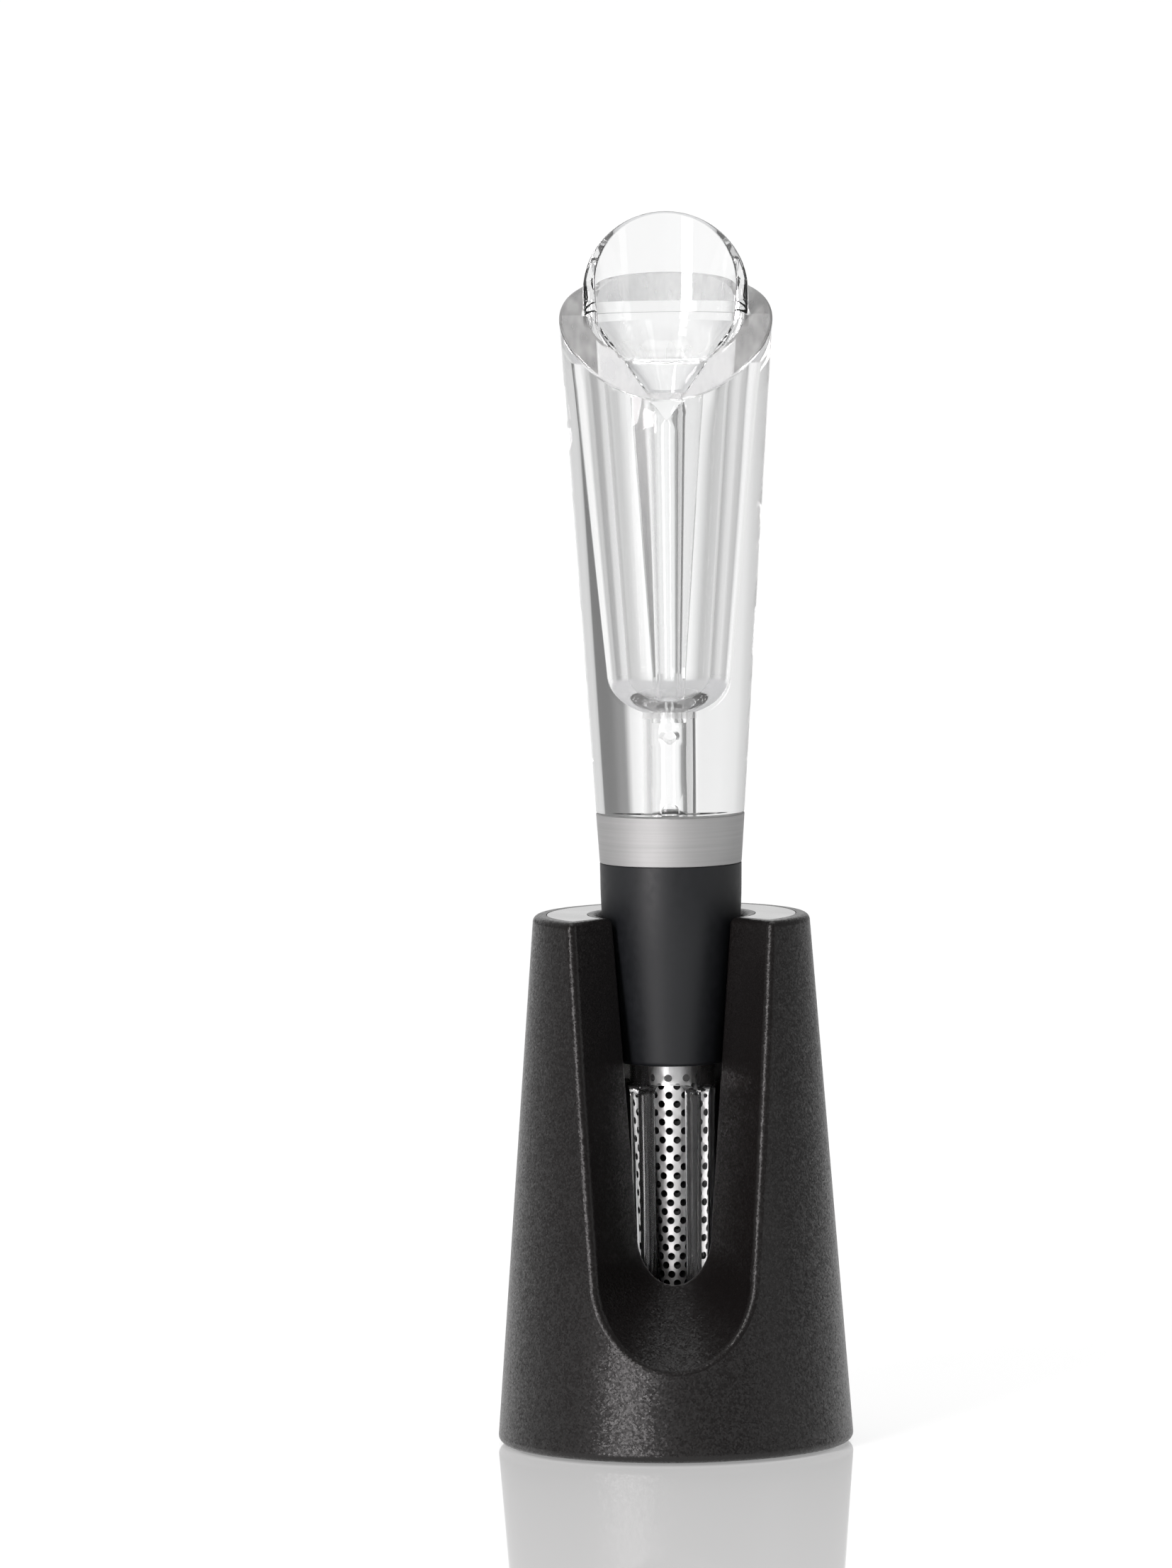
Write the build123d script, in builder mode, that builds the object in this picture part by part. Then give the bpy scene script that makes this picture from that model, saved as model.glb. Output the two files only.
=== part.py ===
from build123d import *
import os
from math import acos, atan2, cos, hypot, radians, sin

# A wine aerator pourer standing in its slotted stand, in millimetres, +Z up.
# The origin is on the table, under the middle of the stand. The stand's slot,
# the air hole and the low side of the spout all face -Y.

# Stand, outside
stand_base_radius = 30.1
stand_top_wall = 10.7
stand_top_z = 89.8
shell_wall = 2.6
shell_top_wall = 3.2
shell_bottom_fillet = 1.2
shell_edge_fillet = 1.2

# Stand, bore that takes the pourer
seat_z = 18.0
socket_depth = 4.0
socket_clearance = 0.3
bore_low_clearance = 1.8
bore_top_clearance = 0.64
bore_wall = 2.2
floor_wall = 3.0

# Stand, slot: a U near the axis is lofted out to a wider, leaning U
slot_throat_depth = 6.4
slot_throat_radius = 5.2
slot_throat_rise = 18.6
slot_throat_half_width = 8.5
slot_mouth_low_margin = 11.5
slot_mouth_high_margin = 0.42
slot_mouth_rise = 12.0
slot_mouth_radius = 20.3
slot_mouth_centre_drop = 7.4
slot_mouth_half_width = 23.9
slot_wall = 2.4

# Stand, inlaid top plate
plate_outer_rim = 2.2
plate_bore_rim = 1.5
plate_end_rim = 1.5
plate_thickness = 0.8
plate_gap = 0.08
plate_edge_fillet = 0.15

# Stand, base plate and foot ring
cover_thickness = 3.0
cover_clearance = 0.3
foot_reveal = 0.4
foot_width = 5.2
foot_groove_depth = 0.6
foot_clearance = 0.1
foot_edge_fillet = 0.2

# Stand, screws and their bosses
screw_count = 3
screw_first_angle = 90
screw_head_radius = 2.4
screw_head_height = 1.3
screw_shank_radius = 1.3
screw_length = 9.0
screw_recess_width = 0.7
screw_recess_length = 2.6
screw_recess_depth = 0.8
screw_clearance = 0.2
thread_clearance = 0.05
boss_wall = 1.9
boss_tip = 1.6
boss_merge = 0.5

# Pourer, filter cage and the stem above it
cage_length = 46.7
cage_bottom_radius = 7.6
cage_top_radius = 8.4
cage_floor = 2.0
cage_edge_fillet = 0.5
window_count = 4
window_turn = -7.0
window_sill = 6.0
window_head = 3.2
window_corner_radius = 2.0
rib_width = 2.3
stem_bore_radius = 5.4
stem_wall = 1.1
filter_step = 3.0
collar_fillet = 0.3

# Pourer, silicone stopper
stopper_length = 33.9
stopper_bottom_radius = 9.0
stopper_knee_drop = 8.9
stopper_knee_radius = 11.85
stopper_top_radius = 11.96
stopper_blend_radius = 100.0
stopper_bottom_fillet = 0.8
stopper_top_fillet = 0.2
fit_clearance = 0.05

# Pourer, steel ring round the collar
ring_height = 8.3
ring_wall = 1.0
ring_flange_thickness = 0.9
ring_edge_fillet = 0.15
joint_gap = 0.3

# Pourer, perforated filter
filter_top_radius = 4.25
filter_bottom_radius = 2.45
filter_sheet = 0.5
filter_clearance = 0.65
filter_flange_thickness = 0.6
filter_flange_clearance = 0.1
filter_foot_gap = 0.3
filter_hole_radius = 0.62
filter_hole_pitch = 3.05
filter_columns = 18
filter_first_row = 4.0
filter_last_row_margin = 2.0

# Pourer, clear housing
housing_height = 82.1
housing_bottom_radius = 12.53
housing_shoulder_radius = 17.9
cavity_floor_height = 16.6
cavity_low_radius = 7.05
cavity_neck_drop = 6.2
cavity_neck_radius = 10.7
stem_hole_radius = 3.06
spigot_length = 21.5
spigot_clearance = 0.35
spigot_chamfer = 0.4
air_hole_radius = 1.08
air_hole_height = 13.3
notch_radius = 1.4
notch_height = 0.7
notch_depth = 2.6

# Pourer, O-ring on the housing's spigot
seal_section_radius = 0.6
seal_clearance = 0.05
seal_height = 6.0
groove_clearance = 0.05

# Pourer, slanted rim of the housing: an arc seen from the side
rim_front_reach = 19.0
rim_front_drop = 14.1
rim_back_reach = 20.0
rim_back_rise = 8.3
rim_arc_radius = 70.0
rim_fillet = 0.5
rim_dish_rise = 3.3
rim_dish_spread = 0.68
channel_wall = 1.0

# Pourer, spout insert: lip, funnel and tube, with heights from the shoulder
lip_radius = 13.9
lip_root_radius = 11.4
lip_rim_radius = 13.1
lip_top_rise = 18.9
lip_axis_rise = 5.9
lip_root_rise = 0.2
lip_bend_radius = 6.5
lip_edge_fillet = 0.35
funnel_shoulder_rise = 1.4
funnel_mid_radius = 11.2
funnel_mid_drop = 3.6
funnel_neck_radius = 7.1
funnel_neck_drop = 7.3
funnel_throat_drop = 12.6
tube_top_radius = 6.1
tube_top_drop = 12.1
tube_low_radius = 2.9
tube_low_height = 7.9
spout_bore_top_radius = 2.2
spout_bore_low_radius = 1.5
plug_clearance = 0.26
plug_height = 5.9
plug_engagement = 1.1
seat_clearance = 0.3
seat_ledge = 0.5
flare_clearance = 0.8

# Pourer, steep front cut of the spout, with depths towards -Y
cut_knee_depth = 2.3
cut_knee_drop = 2.6
cut_waist_depth = 4.3
cut_waist_drop = 8.4
cut_face_depth = 5.8
cut_face_drop = 10.7
cut_foot_drop = 14.3

# One overrun serves every cut, and one tolerance every surface test
overrun = 5.0
surface_tolerance = 0.01

# Heights that follow from the sizes above
cage_top_z = seat_z + cage_length
stopper_top_z = cage_top_z + stopper_length
ring_top_z = stopper_top_z + ring_height
flange_low_z = ring_top_z - ring_flange_thickness
collar_top_z = flange_low_z - fit_clearance
housing_bottom_z = ring_top_z + joint_gap
shoulder_z = housing_bottom_z + housing_height
cavity_floor_z = housing_bottom_z + cavity_floor_height
cavity_centre_z = cavity_floor_z + cavity_low_radius
cavity_neck_z = shoulder_z - cavity_neck_drop
filter_seat_z = cage_top_z + filter_step
lip_top_z = shoulder_z + lip_top_rise
lip_axis_z = shoulder_z + lip_axis_rise
funnel_shoulder_z = shoulder_z + funnel_shoulder_rise
plug_top_z = cavity_floor_z + plug_height
plug_bottom_z = cavity_floor_z - plug_engagement
cover_top_z = foot_reveal + cover_thickness
screw_head_z = foot_reveal + foot_groove_depth
screw_shank_z = screw_head_z + screw_head_height
screw_tip_z = screw_shank_z + screw_length
boss_top_z = screw_tip_z + boss_tip

# Radii that follow from the sizes above
bore_low_radius = cage_bottom_radius + bore_low_clearance
bore_top_radius = stopper_top_radius + bore_top_clearance
socket_radius = cage_bottom_radius + socket_clearance
stand_top_radius = bore_top_radius + stand_top_wall
plate_outer_radius = stand_top_radius - plate_outer_rim
plate_inner_radius = bore_top_radius + plate_bore_rim
boss_radius = screw_shank_radius + boss_wall
cage_bore_radius = filter_top_radius + filter_clearance
stem_radius = stem_bore_radius + stem_wall
collar_radius = stopper_top_radius - ring_wall - fit_clearance
spigot_radius = stem_bore_radius - spigot_clearance
plug_radius = stem_hole_radius - plug_clearance
seat_radius = lip_radius + seat_clearance
ledge_radius = lip_radius - seat_ledge

os.makedirs("parts", exist_ok=True)


def taper(z, low, high):
    """Radius at height z of the cone through two (radius, z) points."""
    return low[0] + (high[0] - low[0]) * (z - low[1]) / (high[1] - low[1])


stand_low = (stand_base_radius, foot_reveal)
stand_high = (stand_top_radius, stand_top_z)
bore_low = (bore_low_radius, seat_z + socket_depth)
bore_high = (bore_top_radius, stand_top_z)
housing_low = (housing_bottom_radius, housing_bottom_z)
housing_high = (housing_shoulder_radius, shoulder_z)


def lies_on_cone(edge, low, high):
    """True where an edge's ends and middle lie on the cone about Z."""
    points = [edge @ share for share in (0, 0.5, 1)]
    return all(
        abs(hypot(p.X, p.Y) - taper(p.Z, low, high)) < surface_tolerance
        for p in points
    )


def u_outline(radius, centre, top, half_width):
    """A U open at the top: a round bottom and sides that splay from it."""
    reach = hypot(half_width, top - centre)
    turn = atan2(top - centre, half_width) - acos(radius / reach)
    side = (radius * cos(turn), centre + radius * sin(turn))
    with BuildSketch() as outline:
        with BuildLine():
            Line((half_width, top), side)
            ThreePointArc(side, (0, centre - radius), (-side[0], side[1]))
            Line((-side[0], side[1]), (-half_width, top))
            Line((-half_width, top), (half_width, top))
        make_face()
    return outline.sketch


# The slot's mouth lies on a plane that leans with the stand, just outside it
mouth_level_z = seat_z + slot_mouth_rise
mouth_low_depth = taper(mouth_level_z, stand_low, stand_high) + slot_mouth_low_margin
mouth_high_depth = stand_top_radius + slot_mouth_high_margin
mouth_lean = atan2(mouth_low_depth - mouth_high_depth, stand_top_z - mouth_level_z)
mouth_plane = Plane(
    origin=(0, -mouth_low_depth, mouth_level_z),
    x_dir=(1, 0, 0),
    z_dir=(0, -cos(mouth_lean), sin(mouth_lean)),
)
slot_top_z = stand_top_z + overrun
mouth_top = (slot_top_z - mouth_level_z) / cos(mouth_lean)


def slot_block(growth):
    """The slot's loft, with its round bottom and sides grown outwards."""
    with BuildPart() as block:
        with BuildSketch(Plane.XZ.offset(slot_throat_depth)):
            add(
                u_outline(
                    slot_throat_radius + growth,
                    seat_z + slot_throat_rise,
                    slot_top_z,
                    slot_throat_half_width + growth,
                )
            )
        with BuildSketch(mouth_plane):
            add(
                u_outline(
                    slot_mouth_radius + growth,
                    -slot_mouth_centre_drop,
                    mouth_top,
                    slot_mouth_half_width + growth,
                )
            )
        loft(ruled=True)
    return block.part


# The space inside the moulded shell: a cone, less the walls of bore and slot
inner_low = (stand_base_radius - shell_wall, foot_reveal)
inner_high = (stand_top_radius - shell_wall, stand_top_z)
hollow_top_z = stand_top_z - shell_top_wall
floor_low_z = seat_z - floor_wall
boss_reach = taper(boss_top_z, inner_low, inner_high) + boss_merge
screw_circle_radius = boss_reach - boss_radius
foot_outer_radius = screw_circle_radius + foot_width / 2
foot_inner_radius = foot_outer_radius - foot_width
screw_spots = PolarLocations(screw_circle_radius, screw_count, screw_first_angle)
with BuildPart() as stand_hollow:
    with BuildSketch(Plane.XZ):
        with BuildLine():
            Polyline(
                (0, foot_reveal - overrun),
                (inner_low[0], foot_reveal - overrun),
                inner_low,
                (taper(hollow_top_z, inner_low, inner_high), hollow_top_z),
                (taper(hollow_top_z, bore_low, bore_high) + bore_wall, hollow_top_z),
                (taper(floor_low_z, bore_low, bore_high) + bore_wall, floor_low_z),
                (0, floor_low_z),
                close=True,
            )
        make_face()
    revolve(axis=Axis.Z)
    add(slot_block(slot_wall), mode=Mode.SUBTRACT)
    with BuildSketch(Plane.XY.offset(cover_top_z)):
        with screw_spots:
            Circle(boss_radius)
    extrude(amount=boss_top_z - cover_top_z, mode=Mode.SUBTRACT)

# Shell of the stand, one moulding
with BuildPart() as stand_shell:
    with BuildSketch(Plane.XZ):
        with BuildLine():
            Polyline(
                (0, foot_reveal),
                stand_low,
                stand_high,
                bore_high,
                bore_low,
                (socket_radius, bore_low[1]),
                (socket_radius, seat_z),
                (0, seat_z),
                close=True,
            )
        make_face()
    revolve(axis=Axis.Z)
    add(slot_block(0), mode=Mode.SUBTRACT)
    top_edges = stand_shell.edges().group_by(Axis.Z)[-1]
    slot_edges = [
        edge
        for edge in stand_shell.edges().filter_by(GeomType.BSPLINE)
        if lies_on_cone(edge, stand_low, stand_high)
        or lies_on_cone(edge, bore_low, bore_high)
    ]
    fillet(list(top_edges) + slot_edges, shell_edge_fillet)
    fillet(stand_shell.edges().group_by(Axis.Z)[0], shell_bottom_fillet)
    add(stand_hollow.part, mode=Mode.SUBTRACT)
    with BuildSketch(Plane.XY.offset(cover_top_z)):
        with screw_spots:
            Circle(screw_shank_radius + thread_clearance)
    extrude(amount=screw_tip_z + screw_clearance - cover_top_z, mode=Mode.SUBTRACT)


def plate_outline(shrink):
    """The inlaid plate's C shape, drawn in by shrink on every side."""
    with BuildSketch() as slot_view:
        with BuildLine():
            Polyline(
                (slot_throat_half_width, -slot_throat_depth),
                (slot_mouth_half_width, -mouth_high_depth),
                (-slot_mouth_half_width, -mouth_high_depth),
                (-slot_throat_half_width, -slot_throat_depth),
                close=True,
            )
        make_face()
        offset(amount=plate_end_rim + shrink, kind=Kind.INTERSECTION)
    with BuildSketch() as outline:
        Circle(plate_outer_radius - shrink)
        Circle(plate_inner_radius + shrink, mode=Mode.SUBTRACT)
        add(slot_view.sketch, mode=Mode.SUBTRACT)
    return outline.sketch


# Recess in the top of the shell, and the steel plate inlaid in it
with BuildPart() as plate_recess:
    with BuildSketch(Plane.XY.offset(stand_top_z - plate_thickness)):
        add(plate_outline(0))
    extrude(amount=plate_thickness + overrun)

with stand_shell:
    add(plate_recess.part, mode=Mode.SUBTRACT)

with BuildPart() as stand_top_plate:
    with BuildSketch(Plane.XY.offset(stand_top_z - plate_thickness)):
        add(plate_outline(plate_gap))
    extrude(amount=plate_thickness)
    fillet(stand_top_plate.edges().group_by(Axis.Z)[-1], plate_edge_fillet)

# Base plate that closes the shell from below, flush with its edge
with BuildPart() as stand_base_plate:
    with BuildSketch(Plane.XY.offset(foot_reveal)):
        Circle(taper(cover_top_z, inner_low, inner_high) - cover_clearance)
    extrude(amount=cover_thickness)
    with BuildSketch(Plane.XY.offset(foot_reveal)):
        Circle(foot_outer_radius + foot_clearance)
        Circle(foot_inner_radius - foot_clearance, mode=Mode.SUBTRACT)
    extrude(amount=foot_groove_depth, mode=Mode.SUBTRACT)
    with BuildSketch(Plane.XY.offset(screw_head_z)):
        with screw_spots:
            Circle(screw_head_radius + screw_clearance)
    extrude(amount=screw_head_height, mode=Mode.SUBTRACT)
    with BuildSketch(Plane.XY.offset(foot_reveal)):
        with screw_spots:
            Circle(screw_shank_radius + screw_clearance)
    extrude(amount=cover_thickness, mode=Mode.SUBTRACT)

# Rubber foot ring in the base plate's groove
with BuildPart() as stand_foot_ring:
    with BuildSketch(Plane.XY):
        Circle(foot_outer_radius)
        Circle(foot_inner_radius, mode=Mode.SUBTRACT)
    extrude(amount=foot_reveal + foot_groove_depth)
    fillet(stand_foot_ring.edges().group_by(Axis.Z)[0], foot_edge_fillet)

# Screws that hold the base plate, hidden by the foot ring
with BuildPart() as base_screws:
    with BuildSketch(Plane.XY.offset(screw_head_z)):
        with screw_spots:
            Circle(screw_head_radius)
    extrude(amount=screw_head_height)
    with BuildSketch(Plane.XY.offset(screw_shank_z)):
        with screw_spots:
            Circle(screw_shank_radius)
    extrude(amount=screw_length)
    with BuildSketch(Plane.XY.offset(screw_head_z)):
        with screw_spots:
            Rectangle(screw_recess_width, screw_recess_length)
            Rectangle(screw_recess_length, screw_recess_width)
    extrude(amount=screw_recess_depth, mode=Mode.SUBTRACT)

# Windows of the filter cage: four sectors between radial ribs
window_low_z = seat_z + window_sill
window_high_z = cage_top_z - window_head
window_reach = cage_top_radius + overrun
with BuildPart() as cage_windows:
    with BuildSketch(Plane.XY.offset(window_low_z)):
        Circle(window_reach)
        with Locations(Location((0, 0, 0), (0, 0, window_turn + 360 / (2 * window_count)))):
            for rib in range(window_count // 2):
                Rectangle(
                    2 * window_reach,
                    rib_width,
                    rotation=rib * 360 / window_count,
                    mode=Mode.SUBTRACT,
                )
    extrude(amount=window_high_z - window_low_z)
    window_edges = [
        edge
        for level in (0, -1)
        for edge in cage_windows.edges().group_by(Axis.Z)[level].filter_by(GeomType.LINE)
    ]
    fillet(window_edges, window_corner_radius)

# Clear cage, with the stem that carries the stopper and the collar in the ring
cage_low = (cage_bottom_radius, seat_z)
cage_high = (cage_top_radius, cage_top_z)
with BuildPart() as filter_cage:
    with BuildSketch(Plane.XZ):
        with BuildLine():
            Polyline(
                (0, seat_z),
                cage_low,
                cage_high,
                (stem_radius, cage_top_z),
                (stem_radius, stopper_top_z),
                (collar_radius, stopper_top_z),
                (collar_radius, collar_top_z),
                (stem_radius, collar_top_z),
                (stem_radius, housing_bottom_z),
                (stem_bore_radius, housing_bottom_z),
                (stem_bore_radius, filter_seat_z),
                (cage_bore_radius, filter_seat_z),
                (cage_bore_radius, seat_z + cage_floor),
                (0, seat_z + cage_floor),
                close=True,
            )
        make_face()
    revolve(axis=Axis.Z)
    fillet(filter_cage.edges().group_by(Axis.Z)[0], cage_edge_fillet)
    collar_edges = filter_cage.edges().filter_by_position(Axis.Z, collar_top_z, collar_top_z)
    fillet(collar_edges.sort_by(SortBy.RADIUS)[-1], collar_fillet)
    add(cage_windows.part, mode=Mode.SUBTRACT)

# Silicone stopper stretched over the stem
with BuildPart() as silicone_stopper:
    with BuildSketch(Plane.XZ) as stopper_profile:
        with BuildLine():
            Polyline(
                (stem_radius + fit_clearance, cage_top_z),
                (stopper_bottom_radius, cage_top_z),
                (stopper_knee_radius, stopper_top_z - stopper_knee_drop),
                (stopper_top_radius, stopper_top_z),
                (stem_radius + fit_clearance, stopper_top_z),
                close=True,
            )
        make_face()
        corners = stopper_profile.vertices().sort_by(Axis.X)
        knee = corners[-2]
        fillet(knee, stopper_blend_radius)
    revolve(axis=Axis.Z)
    rims = silicone_stopper.edges().filter_by(GeomType.CIRCLE)
    low_rims = rims.group_by(Axis.Z)[0].sort_by(SortBy.RADIUS)
    fillet(low_rims[-1], stopper_bottom_fillet)
    rims = silicone_stopper.edges().filter_by(GeomType.CIRCLE)
    high_rims = rims.group_by(Axis.Z)[-1].sort_by(SortBy.RADIUS)
    fillet(high_rims[-1], stopper_top_fillet)

# Steel ring round the collar, with a flange turned in over the collar's top
with BuildPart() as steel_ring:
    with BuildSketch(Plane.XZ):
        with BuildLine():
            Polyline(
                (collar_radius + fit_clearance, stopper_top_z),
                (stopper_top_radius, stopper_top_z),
                (housing_bottom_radius, ring_top_z),
                (stem_radius + fit_clearance, ring_top_z),
                (stem_radius + fit_clearance, flange_low_z),
                (collar_radius + fit_clearance, flange_low_z),
                close=True,
            )
        make_face()
    revolve(axis=Axis.Z)
    fillet(steel_ring.edges().filter_by(GeomType.CIRCLE), ring_edge_fillet)

# Perforated filter: a closed cone of thin sheet with a flange on the cage's step
filter_foot_z = seat_z + cage_floor + filter_foot_gap
filter_low = (filter_bottom_radius, filter_foot_z)
filter_high = (filter_top_radius, filter_seat_z)
filter_flange_radius = stem_bore_radius - filter_flange_clearance
filter_top_z = filter_seat_z + filter_flange_thickness
hole_low_z = filter_foot_z + filter_first_row
hole_span = filter_seat_z - filter_last_row_margin - hole_low_z
hole_rows = int(hole_span / filter_hole_pitch)


def hole_plane(column, row):
    """Plane whose Z axis runs out through one hole of the filter."""
    angle = radians(360 * column / filter_columns)
    stagger = 0.5 if column % 2 else 0
    z = hole_low_z + (row + stagger) * filter_hole_pitch
    outwards = (cos(angle), sin(angle), 0)
    return Plane(origin=(0, 0, z), z_dir=outwards)


hole_planes = [
    hole_plane(column, row)
    for column in range(filter_columns)
    for row in range(hole_rows)
]
with BuildPart() as perforated_filter:
    with BuildSketch(Plane.XZ):
        with BuildLine():
            Polyline(
                (0, filter_foot_z),
                filter_low,
                filter_high,
                (filter_flange_radius, filter_seat_z),
                (filter_flange_radius, filter_top_z),
                (filter_top_radius - filter_sheet, filter_top_z),
                (filter_bottom_radius - filter_sheet, filter_foot_z + filter_sheet),
                (0, filter_foot_z + filter_sheet),
                close=True,
            )
        make_face()
    revolve(axis=Axis.Z)
    with Locations(*hole_planes):
        Cylinder(
            filter_hole_radius,
            filter_top_radius + filter_sheet,
            align=(Align.CENTER, Align.CENTER, Align.MIN),
            mode=Mode.SUBTRACT,
        )

# Space above the slanted rim, seen from the side as an arc
rim_front_z = shoulder_z - rim_front_drop
rim_back_z = shoulder_z + rim_back_rise
with BuildPart() as above_rim:
    with BuildSketch(Plane.YZ):
        with BuildLine():
            RadiusArc(
                (-rim_front_reach, rim_front_z),
                (rim_back_reach, rim_back_z),
                rim_arc_radius,
            )
            Polyline(
                (rim_back_reach, rim_back_z),
                (rim_back_reach, lip_top_z + overrun),
                (-rim_front_reach - overrun, lip_top_z + overrun),
                (-rim_front_reach - overrun, rim_front_z),
                (-rim_front_reach, rim_front_z),
            )
        make_face()
    extrude(amount=rim_back_reach, both=True)

# Channel in front of the funnel, with the funnel's own slope on both sides
funnel_throat_z = shoulder_z - funnel_throat_drop
lip_root_z = shoulder_z + lip_root_rise
funnel_splay = (lip_root_radius - spout_bore_top_radius) / (lip_root_z - funnel_throat_z)
channel_tip_z = funnel_throat_z - spout_bore_top_radius / funnel_splay
channel_reach = taper(rim_front_z, housing_low, housing_high) - channel_wall
with BuildPart() as pour_channel:
    with BuildSketch(Plane.XZ):
        with BuildLine():
            Polyline(
                (0, channel_tip_z),
                (lip_root_radius, lip_root_z),
                (-lip_root_radius, lip_root_z),
                close=True,
            )
        make_face()
    extrude(amount=channel_reach)

# Clear housing: a thick cone with a round-bottomed cavity and a spigot below
spigot_bottom_z = housing_bottom_z - spigot_length
seal_z = spigot_bottom_z + seal_height
seal_outer_radius = stem_bore_radius - seal_clearance
seal_centre_radius = seal_outer_radius - seal_section_radius
groove_radius = seal_centre_radius - seal_section_radius - groove_clearance
groove_width = 2 * (seal_section_radius + groove_clearance)
housing_blank_z = rim_back_z + overrun
dish_z = shoulder_z + rim_dish_rise
dish_top_z = housing_blank_z + overrun
dish_top_radius = seat_radius + rim_dish_spread * (dish_top_z - dish_z)
with BuildPart() as clear_housing:
    with BuildSketch(Plane.XZ):
        with BuildLine():
            Polyline(
                (0, spigot_bottom_z),
                (spigot_radius - spigot_chamfer, spigot_bottom_z),
                (spigot_radius, spigot_bottom_z + spigot_chamfer),
                (spigot_radius, housing_bottom_z),
                housing_low,
                (taper(housing_blank_z, housing_low, housing_high), housing_blank_z),
                (0, housing_blank_z),
                close=True,
            )
        make_face()
    revolve(axis=Axis.Z)
    with BuildSketch(Plane.XZ):
        with BuildLine():
            cavity_side = Line(
                (cavity_low_radius, cavity_centre_z),
                (cavity_neck_radius, cavity_neck_z),
            )
            cavity_flare = ThreePointArc(
                cavity_side @ 1,
                (funnel_mid_radius + flare_clearance, shoulder_z - funnel_mid_drop),
                (ledge_radius, funnel_shoulder_z),
            )
            Polyline(
                cavity_flare @ 1,
                (seat_radius, funnel_shoulder_z),
                (seat_radius, dish_z),
                (dish_top_radius, dish_top_z),
                (0, dish_top_z),
                (0, cavity_floor_z),
            )
            RadiusArc((0, cavity_floor_z), cavity_side @ 0, -cavity_low_radius)
        make_face()
    revolve(axis=Axis.Z, mode=Mode.SUBTRACT)
    with BuildSketch(Plane.XY.offset(spigot_bottom_z)):
        Circle(stem_hole_radius)
    extrude(amount=cavity_centre_z - spigot_bottom_z, mode=Mode.SUBTRACT)
    add(above_rim.part, mode=Mode.SUBTRACT)
    slanted_rim = [
        edge
        for edge in clear_housing.edges().filter_by(GeomType.BSPLINE)
        if lies_on_cone(edge, housing_low, housing_high)
    ]
    fillet(slanted_rim, rim_fillet)
    add(pour_channel.part, mode=Mode.SUBTRACT)
    with BuildSketch(Plane.XY.offset(seal_z - groove_width / 2)):
        Circle(spigot_radius)
        Circle(groove_radius, mode=Mode.SUBTRACT)
    extrude(amount=groove_width, mode=Mode.SUBTRACT)
    with BuildSketch(Plane.XZ):
        with Locations((0, housing_bottom_z + air_hole_height)):
            Circle(air_hole_radius)
    extrude(amount=housing_shoulder_radius, mode=Mode.SUBTRACT)
    with BuildSketch(Plane.XZ.offset(housing_bottom_radius - notch_depth)):
        with Locations((0, housing_bottom_z + notch_height)):
            Circle(notch_radius)
        with Locations((0, housing_bottom_z)):
            Rectangle(2 * notch_radius, 2 * notch_height)
    extrude(amount=notch_depth + overrun, mode=Mode.SUBTRACT)

# O-ring on the spigot
with BuildPart() as housing_o_ring:
    with BuildSketch(Plane.XZ):
        with Locations((seal_centre_radius, seal_z)):
            Circle(seal_section_radius)
    revolve(axis=Axis.Z)

# Space in front of and above the lip, seen from the side
lip_slope_share = (lip_top_z - lip_axis_z) / lip_radius
lip_far_reach = lip_radius + overrun
with BuildPart() as above_lip:
    with BuildSketch(Plane.YZ) as lip_view:
        with BuildLine():
            lip_line = Line(
                (lip_far_reach, lip_axis_z + lip_slope_share * lip_far_reach),
                (0, lip_axis_z),
            )
            front_arc = ThreePointArc(
                lip_line @ 1,
                (-cut_knee_depth, shoulder_z - cut_knee_drop),
                (-cut_waist_depth, shoulder_z - cut_waist_drop),
            )
            Polyline(
                front_arc @ 1,
                (-cut_face_depth, shoulder_z - cut_face_drop),
                (-cut_face_depth, shoulder_z - cut_foot_drop),
                (-lip_far_reach, shoulder_z - cut_foot_drop),
                (-lip_far_reach, (lip_line @ 0).Y + overrun),
                (lip_far_reach, (lip_line @ 0).Y + overrun),
                lip_line @ 0,
            )
        make_face()
        bend = lip_view.vertices().sort_by_distance((0, lip_axis_z))
        fillet(bend[0], lip_bend_radius)
    extrude(amount=lip_far_reach, both=True)

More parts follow.
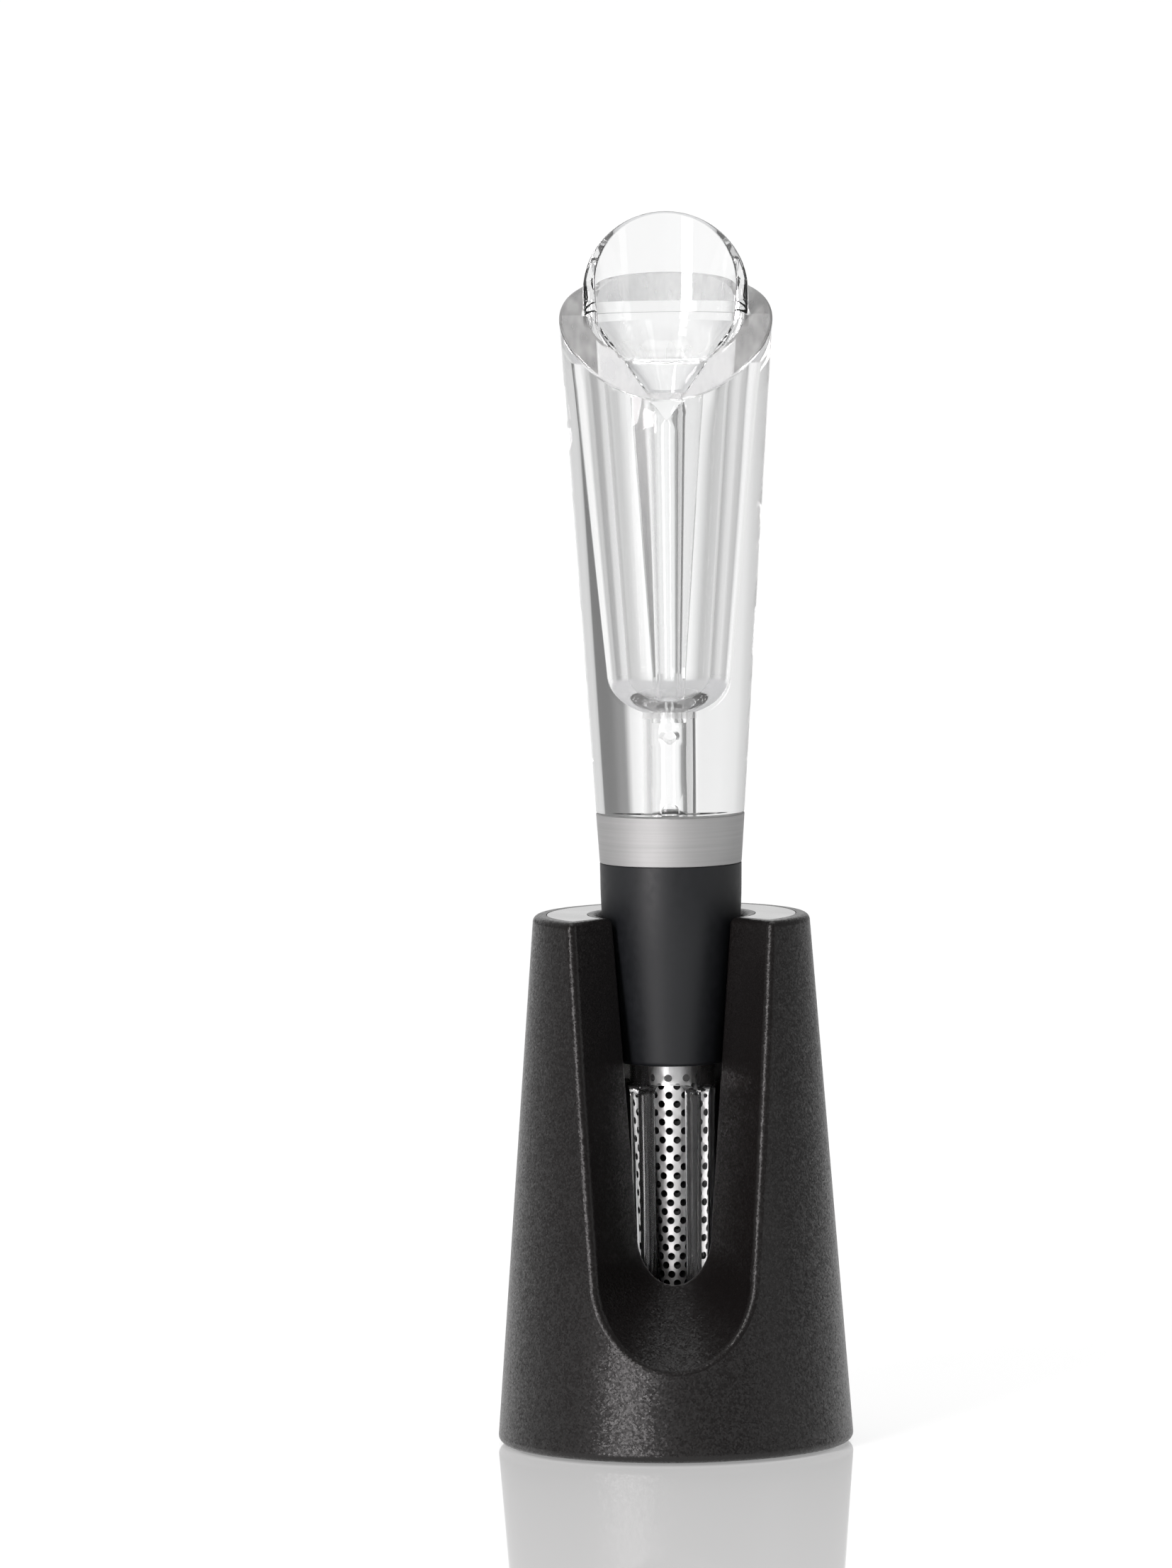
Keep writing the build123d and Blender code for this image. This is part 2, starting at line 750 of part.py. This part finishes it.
# Spout insert: tall lip, funnel, long conical tube and plug
funnel_neck_z = shoulder_z - funnel_neck_drop
with BuildPart() as spout_insert:
    with BuildSketch(Plane.XZ):
        with BuildLine():
            outside = Polyline(
                (0, plug_bottom_z),
                (plug_radius, plug_bottom_z),
                (plug_radius, plug_top_z),
                (tube_low_radius, cavity_floor_z + tube_low_height),
                (tube_top_radius, shoulder_z - tube_top_drop),
                (funnel_neck_radius, funnel_neck_z),
            )
            ThreePointArc(
                outside @ 1,
                (funnel_mid_radius, shoulder_z - funnel_mid_drop),
                (ledge_radius, funnel_shoulder_z),
            )
            Polyline(
                (ledge_radius, funnel_shoulder_z),
                (lip_radius, funnel_shoulder_z),
                (lip_radius, lip_top_z + overrun),
                (0, lip_top_z + overrun),
                (0, plug_bottom_z),
            )
        make_face()
    revolve(axis=Axis.Z)
    with BuildSketch(Plane.XZ):
        with BuildLine():
            Polyline(
                (0, plug_bottom_z),
                (spout_bore_low_radius, plug_bottom_z),
                (spout_bore_low_radius, plug_top_z),
                (spout_bore_top_radius, funnel_throat_z),
                (lip_root_radius, lip_root_z),
                (lip_rim_radius, lip_top_z),
                (lip_rim_radius, lip_top_z + overrun),
                (0, lip_top_z + overrun),
                close=True,
            )
        make_face()
    revolve(axis=Axis.Z, mode=Mode.SUBTRACT)
    add(above_lip.part, mode=Mode.SUBTRACT)
    lip_edges = spout_insert.edges().filter_by(GeomType.ELLIPSE).sort_by(Axis.Z)
    fillet(lip_edges[-2:], lip_edge_fillet)
    add(pour_channel.part, mode=Mode.SUBTRACT)

pieces = {
    "stand_shell": stand_shell,
    "stand_top_plate": stand_top_plate,
    "stand_base_plate": stand_base_plate,
    "stand_foot_ring": stand_foot_ring,
    "base_screws": base_screws,
    "filter_cage": filter_cage,
    "silicone_stopper": silicone_stopper,
    "steel_ring": steel_ring,
    "perforated_filter": perforated_filter,
    "clear_housing": clear_housing,
    "housing_o_ring": housing_o_ring,
    "spout_insert": spout_insert,
}
for name, piece in pieces.items():
    piece.part.label = name
    export_step(piece.part, f"parts/{name}.step")
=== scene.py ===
import math

import bpy
from mathutils import Matrix, Vector

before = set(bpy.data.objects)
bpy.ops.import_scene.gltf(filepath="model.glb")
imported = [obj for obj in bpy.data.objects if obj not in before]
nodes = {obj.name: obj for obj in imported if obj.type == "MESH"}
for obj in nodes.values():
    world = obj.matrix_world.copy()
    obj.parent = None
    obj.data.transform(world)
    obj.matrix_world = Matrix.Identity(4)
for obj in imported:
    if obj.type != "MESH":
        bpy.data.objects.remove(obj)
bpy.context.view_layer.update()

WHITE = (1.0, 1.0, 1.0, 1.0)
BLACK = (0.0, 0.0, 0.0, 1.0)

# Camera of the photograph: its sizes in pixels, its film in millimetres, its place
# and clipping in metres, its turns in degrees
PHOTO_HEIGHT = 2212
PHOTO_FOCAL = 16210
SENSOR = 36.0
CAMERA_PLACE = Vector((0.0, -1.93, 0.268))
CAMERA_CLIP = (0.05, 100.0)
CAMERA_YAW = 0.4205
CAMERA_LEVEL = 90
CAMERA_PITCH = -4.6257
CAMERA_ROLL = 0.5625

# Floor: its half width, tone, mirror share and roughness, then its glow near and
# far and the distance between the two
FLOOR_HALF = 40.0
FLOOR_TONE = (0.8, 0.8, 0.8, 1.0)
FLOOR_MIRROR = 0.53
FLOOR_MIRROR_ROUGHNESS = 0.05
FLOOR_GLOW = (0.6, 0.6, 0.6, 1.0)
FLOOR_FAR_GLOW = (0.9, 0.9, 0.9, 1.0)
FLOOR_REACH = 1.5

# Floor through clear plastic, all painted: its painted shade close by, then for each set
# of painted studio bands the distance at which they begin and the one over which they
# come in
FLOOR_SHADE_THROUGH = (0.62, 0.62, 0.63, 1.0)
FLOOR_MIDDLE = (0.45, 0.2)
FLOOR_FAR = (2.4, 0.8)

# World: its light, then the ceiling that clear plastic sees, by the upward part of
# the direction at which it begins and the part over which it comes in
WORLD_LIGHT = 0.2
CEILING = (0.3, 0.35)
CEILING_TONE = (0.9, 0.9, 0.9, 1.0)

# Soft boxes, all facing one point: name, place, width and height, power, colour
LIT_POINT = (0.0, 0.0, 0.09)
PLAIN_LIGHT = (1.0, 1.0, 1.0)
LIGHTS = (
    ("key_left", (-0.42, -0.72, 0.62), (0.2, 0.2), 3.2, (1.0, 0.97, 0.96)),
    ("low_left", (-0.52, -0.84, 0.13), (0.3, 0.3), 4.2, (1.0, 0.96, 0.97)),
    ("fill_right", (0.8, -0.3, 0.4), (0.2, 0.6), 0.5, PLAIN_LIGHT),
    ("top", (0.0, 0.1, 0.95), (0.7, 0.7), 2.6, PLAIN_LIGHT),
)

# Light paths
BOUNCES = 32
GLOSSY_BOUNCES = 8

# Noise: where its ramps begin and end, its kinds of detail, and its stretches
NOISE_ENDS = (0.3, 0.7)
COARSE_DETAIL = 1.0
PLAIN_DETAIL = 2.0
FINE_DETAIL = 3.0
PLAIN_NOISE = 0.5
ROUGH_NOISE = 0.6
EVEN = (1.0, 1.0, 1.0)
UPRIGHT = (1.0, 1.0, 0.3)

# Grain of a surface: its depth in metres
GRAIN_DEPTH = 0.00002

# Stand: facets per metre and their tilt, then mottle and grain
STAND_FACETS = 3600.0
FACET_MIDDLE = (0.5, 0.5, 0.5)
STAND_TILT = 0.2
STAND_MOTTLE = 60.0
STAND_TONES = ((0.0068, 0.0056, 0.0056), (0.0092, 0.0078, 0.0076))
STAND_GLOSS = 0.38
STAND_GRAIN = 2600.0
STAND_ROUGHNESS = (0.28, 0.38)
STAND_BUMP = 0.3

# Brushed steel: lines and smudges, the share of its tone between the lines and the
# swing of its roughness
BRUSH_LINES = 900.0
BRUSH_TONE_SHARE = 0.88
BRUSH_BUMP = 0.5
SMUDGES = 90.0
SMUDGE_SWING = 0.04
STEEL_ROUGHNESS = 0.28

# Filter's steel: its tone outside, and painted shade on the side towards the axis; the
# side is told by a small distance
FILTER_LEVEL = (1.0, 1.0, 0.0)
FILTER_SIDE = 0.001
FILTER_BRIGHT = (0.7, 0.85)
FILTER_PAINTED_SHADE = (0.05, 0.09)
FILTER_ROUGHNESS = (0.4, 0.5)
FILTER_BUMP = 0.3

# Silicone: dust and grain
SILICONE_DUST = 700.0
SILICONE_TONES = ((0.0085, 0.0095, 0.0115), (0.0115, 0.0125, 0.015))
SILICONE_GLOSS = 0.4
SILICONE_ROUGHNESS = (0.42, 0.5)
SILICONE_GRAIN = 3000.0
SILICONE_BUMP = 0.25

# Rubber: mottle, and the share of its tone in the darker spots
RUBBER_MOTTLE = 500.0
RUBBER_TONE_SHARE = 0.8
RUBBER_ROUGHNESS = (0.6, 0.75)
RUBBER_BUMP = 0.3
RUBBER_DEPTH = 0.00003

# Clear plastic: tint and index, flow marks, the light that its scratches scatter, and the
# white of that scatter, which on the housing also carries painted light
CLEAR_TINT = (0.996, 0.998, 0.998, 1.0)
CLEAR_IOR = 1.49
CLEAR_SMOOTH_SHARE = 0.5
FLOW_MARKS = 220.0
FLOW_STRETCH = (1.0, 1.0, 0.12)
FLOW_BUMP = 0.02
FLOW_DEPTH = 0.00005
SCRATCHES = 1500.0
HAZE = (0.005, 0.015)
HAZE_AND_PAINTED_LIGHT_TONE = (0.95, 0.95, 0.95, 1.0)

# Housing's slanted rim: its lowest height, how far up its face looks, its streaks
# and the painted light that lightens its upward face in these streaks
RIM_LOW = 0.165
RIM_FACING = (0.25, 0.5)
STREAKS = 500.0
STREAK_STRETCH = (1.0, 0.3, 0.3)
STREAK_ENDS = (0.35, 0.65)
RIM_PAINTED_LIGHT = (0.22, 0.4)

# Floor of the housing's cavity: its radius and heights, and the painted light laid on it,
# which grows towards its bottom
BOWL_RADIUS = 0.0074
BOWL_LOW = 0.1234
BOWL_HIGH = 0.1309
BOWL_PAINTED_LIGHT = 0.4

# What clear plastic and gloss show of the studio, in the world and painted on the floor,
# by the direction around the object: 0.5 is straight behind it, 0.25 left, 0.75 right, 0
# and 1 at the camera
BEHIND = 0.5
FAR_BANDS = (
    (0.0, 0.86), (0.12, 0.8), (0.2, 0.72), (0.297, 0.6), (0.345, 0.7), (0.37, 0.82),
    (0.42, 0.88), (0.455, 0.86), (0.48, 1.0), (0.54, 0.96), (0.555, 0.82),
    (0.563, 0.42), (0.567, 0.25), (0.578, 0.24), (0.594, 0.16), (0.61, 0.13),
    (0.637, 0.11), (0.644, 0.6), (0.66, 0.68), (0.7, 0.62), (0.78, 0.62),
    (0.86, 0.75), (1.0, 0.86),
)
NEAR_PAINTED_BANDS = (
    (0.3, 0.8), (0.335, 0.7), (0.353, 0.42), (0.39, 0.38), (0.41, 0.6), (0.44, 0.62),
    (0.47, 1.0), (0.53, 1.0), (0.556, 0.52), (0.6, 0.6), (0.63, 0.78), (0.66, 0.7),
    (0.69, 0.5), (0.75, 0.5),
)
GLOSS_BANDS = (
    (0.0, 0.2), (0.06, 0.14), (0.12, 0.15), (0.2, 0.24), (0.3, 0.36), (0.35, 0.33),
    (0.42, 0.5), (0.46, 0.9), (0.48, 1.0), (0.52, 1.0), (0.54, 0.6), (0.56, 0.35),
    (0.62, 0.2), (0.66, 0.17), (0.69, 0.28), (0.75, 0.2), (0.82, 0.13), (0.92, 0.14),
    (1.0, 0.2),
)

# Sockets of a mix node for colours: share and two colours, then the result
MIX_INPUTS = (0, 6, 7)
MIX_RESULT = 2


class Nodes:
    """A node tree, with short calls to add and join nodes."""

    def __init__(self, owner):
        """Takes a material or a world, and empties its tree."""
        owner.use_nodes = True
        self.tree = owner.node_tree
        self.tree.nodes.clear()

    def add(self, kind, **settings):
        node = self.tree.nodes.new(kind)
        for name, value in settings.items():
            setattr(node, name, value)
        return node

    def join(self, source, target):
        self.tree.links.new(source, target)

    def math(self, operation, *values, clamp=False):
        node = self.add("ShaderNodeMath", operation=operation, use_clamp=clamp)
        for socket, value in zip(node.inputs, values):
            if isinstance(value, (int, float)):
                socket.default_value = value
            else:
                self.join(value, socket)
        return node.outputs[0]

    def vector(self, operation, *values):
        """The outputs of a sum of vectors, given as sockets or plain vectors."""
        node = self.add("ShaderNodeVectorMath", operation=operation)
        for socket, value in zip(node.inputs, values):
            if isinstance(value, tuple):
                socket.default_value = value
            else:
                self.join(value, socket)
        return node.outputs

    def split(self, vector):
        """The X, Y and Z outputs of a vector."""
        node = self.add("ShaderNodeSeparateXYZ")
        self.join(vector, node.inputs[0])
        return node.outputs

    def grow(self, value, start, width):
        """0 up to start, then growing to 1 over width."""
        past = self.math("SUBTRACT", value, start)
        return self.math("DIVIDE", past, width, clamp=True)

    def ramp(self, value, *stops):
        """A colour ramp through (place, grey or colour) stops."""
        node = self.add("ShaderNodeValToRGB")
        elements = node.color_ramp.elements
        while len(elements) > 1:
            elements.remove(elements[-1])
        for number, (place, colour) in enumerate(stops):
            element = elements[0] if number == 0 else elements.new(place)
            element.position = place
            rgb = (colour,) * 3 if isinstance(colour, (int, float)) else colour
            element.color = (*rgb, 1.0)
        self.join(value, node.inputs[0])
        return node.outputs[0]

    def spread(self, noise, low, high, ends=NOISE_ENDS):
        """A ramp from low to high over the middle of a noise."""
        return self.ramp(noise, (ends[0], low), (ends[1], high))

    def noise(self, vector, scale, detail=PLAIN_DETAIL, roughness=PLAIN_NOISE):
        node = self.add("ShaderNodeTexNoise")
        self.join(vector, node.inputs["Vector"])
        node.inputs["Scale"].default_value = scale
        node.inputs["Detail"].default_value = detail
        node.inputs["Roughness"].default_value = roughness
        return node.outputs["Fac"]

    def place(self, stretch=EVEN):
        """Object coordinates, stretched along each axis."""
        texture = self.add("ShaderNodeTexCoord")
        mapping = self.add("ShaderNodeMapping")
        mapping.inputs["Scale"].default_value = stretch
        self.join(texture.outputs["Object"], mapping.inputs["Vector"])
        return mapping.outputs["Vector"]

    def bump(self, height, strength, depth=GRAIN_DEPTH, normal=None):
        node = self.add("ShaderNodeBump")
        node.inputs["Strength"].default_value = strength
        node.inputs["Distance"].default_value = depth
        self.join(height, node.inputs["Height"])
        if normal is not None:
            self.join(normal, node.inputs["Normal"])
        return node.outputs["Normal"]

    def blend(self, share, first, second):
        """A colour between two: share 0 gives the first, 1 the second."""
        node = self.add("ShaderNodeMix", data_type="RGBA")
        for number, value in zip(MIX_INPUTS, (share, first, second)):
            if isinstance(value, tuple):
                node.inputs[number].default_value = value
            else:
                self.join(value, node.inputs[number])
        return node.outputs[MIX_RESULT]

    def blend_shaders(self, share, first, second):
        """A shader between two: share 0 gives the first, 1 the second."""
        node = self.add("ShaderNodeMixShader")
        for socket, value in zip(node.inputs, (share, first, second)):
            self.join(value, socket)
        return node.outputs[0]


def make_camera():
    """The camera of the photograph: a long lens, looking slightly down."""
    data = bpy.data.cameras.new("photo_camera")
    data.sensor_width = SENSOR
    data.lens = PHOTO_FOCAL / PHOTO_HEIGHT * SENSOR
    data.clip_start, data.clip_end = CAMERA_CLIP
    camera = bpy.data.objects.new("photo_camera", data)
    bpy.context.scene.collection.objects.link(camera)
    camera.location = CAMERA_PLACE
    yaw = Matrix.Rotation(math.radians(CAMERA_YAW), 4, "Z")
    pitch = Matrix.Rotation(math.radians(CAMERA_LEVEL + CAMERA_PITCH), 4, "X")
    roll = Matrix.Rotation(math.radians(-CAMERA_ROLL), 4, "Z")
    camera.rotation_mode = "QUATERNION"
    camera.rotation_quaternion = (yaw @ pitch @ roll).to_quaternion()
    bpy.context.scene.camera = camera


def new_material(name):
    """A material, its Nodes helper and its Principled shader."""
    material = bpy.data.materials.new(name)
    n = Nodes(material)
    shader = n.add("ShaderNodeBsdfPrincipled")
    output = n.add("ShaderNodeOutputMaterial")
    n.join(shader.outputs[0], output.inputs["Surface"])
    return material, n, shader


def stand_black():
    """Black moulded plastic with a fine glittering grain of small facets."""
    material, n, shader = new_material("stand_black")
    place = n.place()
    cells = n.add("ShaderNodeTexVoronoi")
    n.join(place, cells.inputs["Vector"])
    cells.inputs["Scale"].default_value = STAND_FACETS
    push = n.add("ShaderNodeVectorMath", operation="SCALE")
    n.join(n.vector("SUBTRACT", cells.outputs["Color"], FACET_MIDDLE)[0], push.inputs[0])
    push.inputs["Scale"].default_value = STAND_TILT
    surface = n.add("ShaderNodeNewGeometry")
    facet = n.vector("ADD", surface.outputs["Normal"], push.outputs[0])
    unit = n.vector("NORMALIZE", facet[0])
    mottle = n.noise(place, STAND_MOTTLE, FINE_DETAIL)
    n.join(n.spread(mottle, *STAND_TONES), shader.inputs["Base Color"])
    shader.inputs["Specular IOR Level"].default_value = STAND_GLOSS
    grain = n.noise(place, STAND_GRAIN, PLAIN_DETAIL, ROUGH_NOISE)
    n.join(n.spread(grain, *STAND_ROUGHNESS), shader.inputs["Roughness"])
    n.join(n.bump(grain, STAND_BUMP, normal=unit[0]), shader.inputs["Normal"])
    return material


def brushed_steel(name, lines, tone, rough=STEEL_ROUGHNESS):
    """Brushed steel; lines stretches the brushing along the axes."""
    material, n, shader = new_material(name)
    brush = n.noise(n.place(lines), BRUSH_LINES, FINE_DETAIL, ROUGH_NOISE)
    smudge = n.noise(n.place(), SMUDGES)
    n.join(n.spread(brush, tone * BRUSH_TONE_SHARE, tone), shader.inputs["Base Color"])
    shader.inputs["Metallic"].default_value = 1.0
    roughness = n.spread(smudge, rough - SMUDGE_SWING, rough + SMUDGE_SWING)
    n.join(roughness, shader.inputs["Roughness"])
    n.join(n.bump(brush, BRUSH_BUMP), shader.inputs["Normal"])
    return material


def filter_steel():
    """Satin steel sheet, its own tone outside, with painted shade on the side towards the
    axis.
    """
    material, n, shader = new_material("filter_steel")
    texture = n.add("ShaderNodeTexCoord")
    outwards = n.vector("MULTIPLY", texture.outputs["Object"], FILTER_LEVEL)
    side = n.vector("DOT_PRODUCT", outwards[0], texture.outputs["Normal"])
    outside = n.math("GREATER_THAN", side["Value"], FILTER_SIDE)
    satin = n.noise(n.place(UPRIGHT), BRUSH_LINES, FINE_DETAIL, ROUGH_NOISE)
    bright = n.spread(satin, *FILTER_BRIGHT)
    # Painted shade: the side towards the axis gets a much darker steel tone.
    painted_shade = n.spread(satin, *FILTER_PAINTED_SHADE)
    n.join(n.blend(outside, painted_shade, bright), shader.inputs["Base Color"])
    shader.inputs["Metallic"].default_value = 1.0
    n.join(n.spread(satin, *FILTER_ROUGHNESS), shader.inputs["Roughness"])
    n.join(n.bump(satin, FILTER_BUMP), shader.inputs["Normal"])
    return material


def silicone():
    """Dark blue-grey silicone with a dusty, silky surface."""
    material, n, shader = new_material("silicone_grey")
    place = n.place()
    dust = n.noise(place, SILICONE_DUST, FINE_DETAIL)
    n.join(n.spread(dust, *SILICONE_TONES), shader.inputs["Base Color"])
    shader.inputs["Specular IOR Level"].default_value = SILICONE_GLOSS
    n.join(n.spread(dust, *SILICONE_ROUGHNESS), shader.inputs["Roughness"])
    grain = n.noise(place, SILICONE_GRAIN)
    n.join(n.bump(grain, SILICONE_BUMP), shader.inputs["Normal"])
    return material


def rubber(name, tone):
    """Plain dark rubber with a faint mottle."""
    material, n, shader = new_material(name)
    mottle = n.noise(n.place(), RUBBER_MOTTLE, FINE_DETAIL)
    n.join(n.spread(mottle, tone * RUBBER_TONE_SHARE, tone), shader.inputs["Base Color"])
    n.join(n.spread(mottle, *RUBBER_ROUGHNESS), shader.inputs["Roughness"])
    n.join(n.bump(mottle, RUBBER_BUMP, RUBBER_DEPTH), shader.inputs["Normal"])
    return material


def acrylic(name, roughness, housing=False):
    """Clear polished plastic with faint flow marks and a trace of fine scratches; on the
    housing the same white scatter also adds painted light.
    """
    material, n, shader = new_material(name)
    flow = n.noise(n.place(FLOW_STRETCH), FLOW_MARKS)
    shader.inputs["Base Color"].default_value = CLEAR_TINT
    shader.inputs["Transmission Weight"].default_value = 1.0
    shader.inputs["IOR"].default_value = CLEAR_IOR
    polish = n.spread(flow, roughness * CLEAR_SMOOTH_SHARE, roughness)
    n.join(polish, shader.inputs["Roughness"])
    n.join(n.bump(flow, FLOW_BUMP, FLOW_DEPTH), shader.inputs["Normal"])
    scratches = n.noise(n.place(UPRIGHT), SCRATCHES, FINE_DETAIL)
    scatter_and_painted_light = n.spread(scratches, *HAZE)
    if housing:
        # On the housing, painted light on the rim's face and the cavity's floor joins the
        # scratches' scatter.
        scatter_and_painted_light = n.math("ADD", scatter_and_painted_light, housing_painted_light(n))
    haze_and_painted_light = n.add("ShaderNodeBsdfDiffuse")
    haze_and_painted_light.inputs["Color"].default_value = HAZE_AND_PAINTED_LIGHT_TONE
    mix = n.blend_shaders(scatter_and_painted_light, shader.outputs[0], haze_and_painted_light.outputs[0])
    n.join(mix, n.tree.nodes["Material Output"].inputs["Surface"])
    return material


def housing_painted_light(n):
    """Painted light: lighter streaks on the slanted rim's upward face, and a lighter
    floor of the cavity, more towards its bottom.
    """
    texture = n.add("ShaderNodeTexCoord")
    normal = n.split(texture.outputs["Normal"])
    x, y, z = n.split(texture.outputs["Object"])
    # Painted light: a white scatter lightens the rim's face where it looks up, in
    # streaks.
    facing_up = n.ramp(normal["Z"], (RIM_FACING[0], 0.0), (RIM_FACING[1], 1.0))
    rim_face = n.math("MULTIPLY", facing_up, n.math("GREATER_THAN", z, RIM_LOW))
    streaks = n.noise(n.place(STREAK_STRETCH), STREAKS, COARSE_DETAIL)
    rim_painted_light = n.spread(streaks, *RIM_PAINTED_LIGHT, ends=STREAK_ENDS)
    rim = n.math("MULTIPLY", rim_face, rim_painted_light)
    # Painted light: a white scatter lightens the cavity's floor, more towards its bottom.
    squares = [n.math("MULTIPLY", along, along) for along in (x, y)]
    inside = n.math("LESS_THAN", n.math("SQRT", n.math("ADD", *squares)), BOWL_RADIUS)
    above = n.math("GREATER_THAN", z, BOWL_LOW)
    below = n.math("SUBTRACT", BOWL_HIGH, z)
    fade = n.math("DIVIDE", below, BOWL_HIGH - BOWL_LOW, clamp=True)
    painted_bowl_light = n.math("MULTIPLY", fade, BOWL_PAINTED_LIGHT)
    bowl = n.math("MULTIPLY", n.math("MULTIPLY", inside, above), painted_bowl_light)
    return n.math("ADD", rim, bowl)


def dress_nodes():
    """One material on each piece."""
    finishes = {
        "stand_shell": stand_black(),
        "stand_top_plate": brushed_steel("plate_steel", lines=(0.08, 1.0, 1.0), tone=0.5),
        "stand_base_plate": rubber("base_black", tone=0.03),
        "stand_foot_ring": rubber("foot_rubber", tone=0.02),
        "base_screws": brushed_steel("screw_steel", lines=EVEN, tone=0.5),
        "filter_cage": acrylic("cage_clear", roughness=0.03),
        "silicone_stopper": silicone(),
        "steel_ring": brushed_steel(
            "ring_steel", lines=(0.03, 0.03, 2.5), tone=0.52, rough=0.65
        ),
        "perforated_filter": filter_steel(),
        "clear_housing": acrylic("housing_clear", roughness=0.01, housing=True),
        "housing_o_ring": rubber("seal_rubber", tone=0.03),
        "spout_insert": acrylic("spout_clear", roughness=0.01),
    }
    for name, material in finishes.items():
        slots = nodes[name].data.materials
        slots.clear()
        slots.append(material)


def studio_bands(n, vector, bands):
    """The grey of the studio in the direction of a vector."""
    way = n.split(vector)
    turn = n.math("ARCTAN2", way["X"], way["Y"])
    share = n.math("ADD", n.math("DIVIDE", turn, 2 * math.pi), BEHIND)
    return n.ramp(share, *bands)


def make_floor():
    """A large white glossy floor that keeps the shadow and a soft reflection; through
    clear plastic it shows painted shade close by and painted studio bands, and in gloss
    painted studio bands further out.
    """
    mesh = bpy.data.meshes.new("floor")
    square = ((-1, -1), (1, -1), (1, 1), (-1, 1))
    corners = [(FLOOR_HALF * x, FLOOR_HALF * y, 0) for x, y in square]
    mesh.from_pydata(corners, [], [(0, 1, 2, 3)])
    floor = bpy.data.objects.new("floor", mesh)
    bpy.context.scene.collection.objects.link(floor)
    material = bpy.data.materials.new("floor_pale")
    n = Nodes(material)
    path = n.add("ShaderNodeLightPath").outputs
    seen, glossy, bent = (
        path["Is Camera Ray"], path["Is Glossy Ray"], path["Is Transmission Ray"],
    )
    place = n.place()
    distance = n.vector("LENGTH", place)["Value"]
    middle = n.grow(distance, *FLOOR_MIDDLE)
    far = n.grow(distance, *FLOOR_FAR)
    # Painted shade close by, then painted studio light and shade in bands, for rays
    # through clear plastic.
    through = n.blend(middle, FLOOR_SHADE_THROUGH, studio_bands(n, place, NEAR_PAINTED_BANDS))
    through = n.blend(far, through, studio_bands(n, place, FAR_BANDS))
    cast = n.add("ShaderNodeBsdfDiffuse")
    n.join(n.blend(bent, FLOOR_TONE, BLACK), cast.inputs["Color"])
    glow = n.add("ShaderNodeEmission")
    reach = n.math("DIVIDE", distance, FLOOR_REACH, clamp=True)
    own = n.blend(reach, FLOOR_GLOW, FLOOR_FAR_GLOW)
    # Painted studio bands of light and shade, further out, for rays of gloss.
    gloss = n.blend(middle, FLOOR_GLOW, studio_bands(n, place, GLOSS_BANDS))
    own = n.blend(glossy, own, gloss)
    n.join(n.blend(bent, own, through), glow.inputs["Color"])
    shown = n.math("MAXIMUM", n.math("MAXIMUM", seen, glossy), bent)
    n.join(shown, glow.inputs["Strength"])
    body = n.add("ShaderNodeAddShader")
    n.join(cast.outputs[0], body.inputs[0])
    n.join(glow.outputs[0], body.inputs[1])
    mirror = n.add("ShaderNodeBsdfGlossy")
    mirror.inputs["Roughness"].default_value = FLOOR_MIRROR_ROUGHNESS
    mirror.inputs["Color"].default_value = WHITE
    mirrored = n.math("MULTIPLY", seen, FLOOR_MIRROR)
    mix = n.blend_shaders(mirrored, body.outputs[0], mirror.outputs[0])
    output = n.add("ShaderNodeOutputMaterial")
    n.join(mix, output.inputs["Surface"])
    mesh.materials.append(material)


def make_world():
    """Soft white light all round; gloss and clear plastic see the studio's bands."""
    world = bpy.data.worlds.new("studio")
    bpy.context.scene.world = world
    n = Nodes(world)
    way = n.add("ShaderNodeTexCoord").outputs["Generated"]
    path = n.add("ShaderNodeLightPath").outputs
    seen, glossy, bent = (
        path["Is Camera Ray"], path["Is Glossy Ray"], path["Is Transmission Ray"],
    )
    plain = n.add("ShaderNodeBackground")
    plain.inputs["Color"].default_value = WHITE
    plain.inputs["Strength"].default_value = WORLD_LIGHT
    white = n.add("ShaderNodeBackground")
    white.inputs["Color"].default_value = WHITE
    high = n.grow(n.split(way)["Z"], *CEILING)
    through = n.blend(high, studio_bands(n, way, FAR_BANDS), CEILING_TONE)
    gloss = studio_bands(n, way, GLOSS_BANDS)
    banded = n.add("ShaderNodeBackground")
    n.join(n.blend(bent, gloss, through), banded.inputs["Color"])
    either = n.math("MAXIMUM", glossy, bent)
    light = n.blend_shaders(either, plain.outputs[0], banded.outputs[0])
    output = n.add("ShaderNodeOutputWorld")
    n.join(n.blend_shaders(seen, light, white.outputs[0]), output.inputs["Surface"])


def area_light(name, place, size, power, colour):
    """A rectangular soft box at place, facing the lit point."""
    data = bpy.data.lights.new(name, "AREA")
    data.shape = "RECTANGLE"
    data.size, data.size_y = size
    data.energy = power
    data.color = colour
    light = bpy.data.objects.new(name, data)
    bpy.context.scene.collection.objects.link(light)
    light.location = place
    aim = Vector(LIT_POINT) - Vector(place)
    light.rotation_mode = "QUATERNION"
    light.rotation_quaternion = aim.to_track_quat("-Z", "Y")


make_camera()
dress_nodes()
make_floor()
make_world()
for soft_box in LIGHTS:
    area_light(*soft_box)
bpy.context.scene.view_settings.view_transform = "Standard"
bpy.context.scene.cycles.max_bounces = BOUNCES
bpy.context.scene.cycles.transmission_bounces = BOUNCES
bpy.context.scene.cycles.glossy_bounces = GLOSSY_BOUNCES
